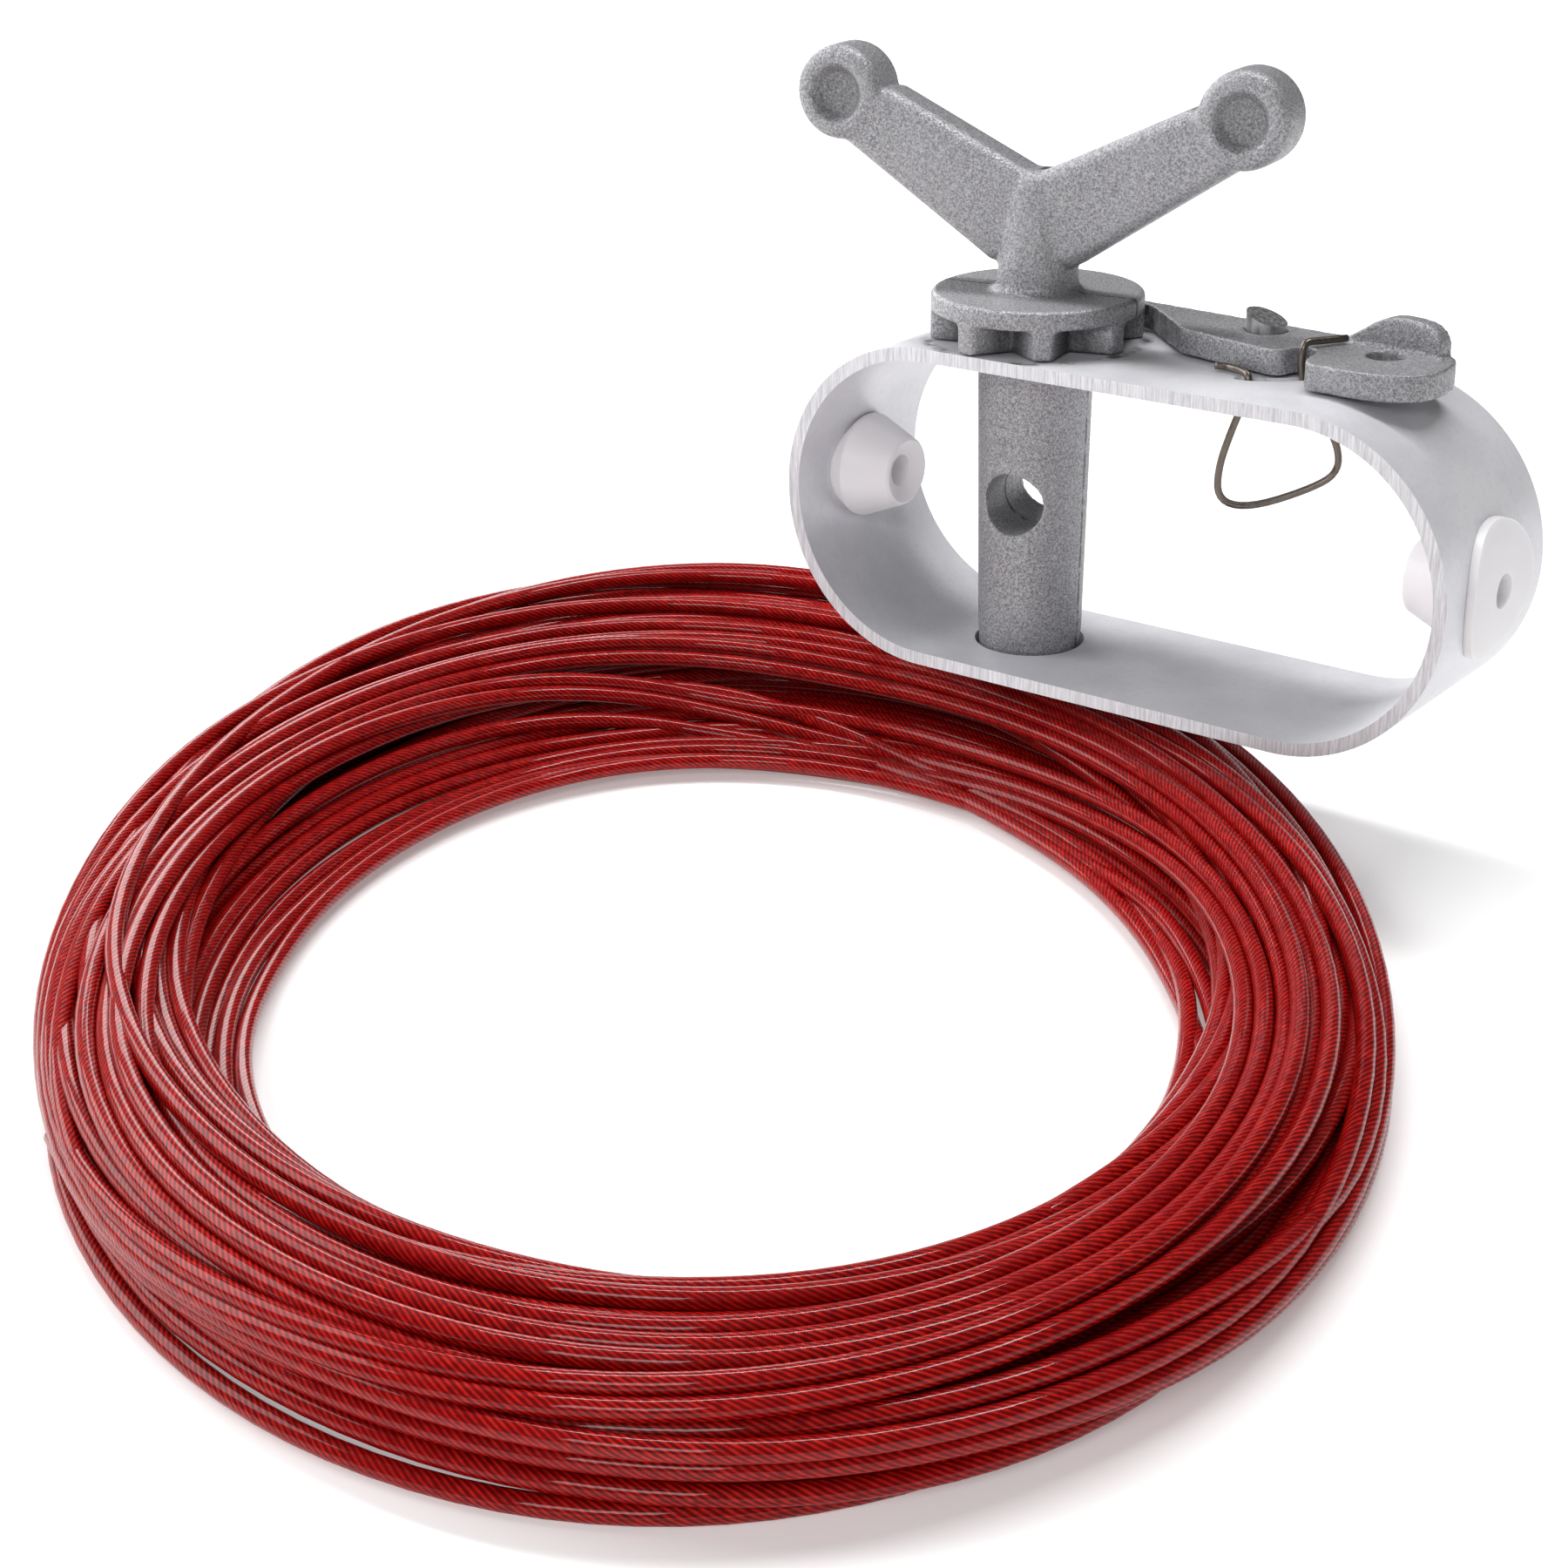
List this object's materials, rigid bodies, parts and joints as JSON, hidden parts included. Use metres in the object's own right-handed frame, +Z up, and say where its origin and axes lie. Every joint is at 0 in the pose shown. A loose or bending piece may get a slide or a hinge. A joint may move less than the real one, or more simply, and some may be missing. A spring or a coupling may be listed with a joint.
{
  "type": "come along winch",
  "caption": "Small hand ratchet cable tightener: oval band frame, drum spindle with vee handle, sprung pawl, end grommets and a loose coil of plastic-coated cable.",
  "frame": {"origin": "centre of the cable hole through the drum, on the spindle's axis, 31 mm above the underside of the oval frame", "axes": "+X along the oval frame from the drum towards the pawl and the far grommet, +Y across the frame's width away from the coil, +Z up the spindle towards the vee handle"},
  "size_m": [0.2598, 0.2698, 0.1338],
  "materials": {
    "frame_aluminium": "mill finish oval tube with bright sawn edges",
    "spindle_casting": "rough sand-cast, tumbled",
    "pawl_casting": "rough sand-cast, tumbled",
    "pin_steel": "plain rod, sheared top",
    "ring_steel": "plain spring steel",
    "spring_steel": "brownish drawn spring wire",
    "grommet_plastic": "milky translucent moulding",
    "cable_red": "clear red coating over twisted steel rope"
  },
  "bodies": {
    "frame": {"oval_frame": "frame_aluminium", "pawl_pivot_pin": "pin_steel", "pawl_spring": "spring_steel", "grommet_left": "grommet_plastic", "grommet_right": "grommet_plastic", "cable_coil": "cable_red"},
    "spindle": {"winch_spindle": "spindle_casting", "spindle_retaining_ring": "ring_steel"},
    "pawl_body": {"pawl": "pawl_casting"}
  },
  "joints": [
    {"name": "spindle_turn", "type": "hinge", "parent": "frame", "child": "spindle", "pos_m": [0, 0, 0], "axis": [0, 0, 1], "continuous": true},
    {"name": "pawl_pivot", "type": "hinge", "parent": "frame", "child": "pawl_body", "pos_m": [0.041, 0.0095, 0.0318], "axis": [0, 0, 1], "range_deg": [-10, 4], "stiffness_Nm_per_rad": 0.1, "deforming": ["pawl_spring"]}
  ]
}
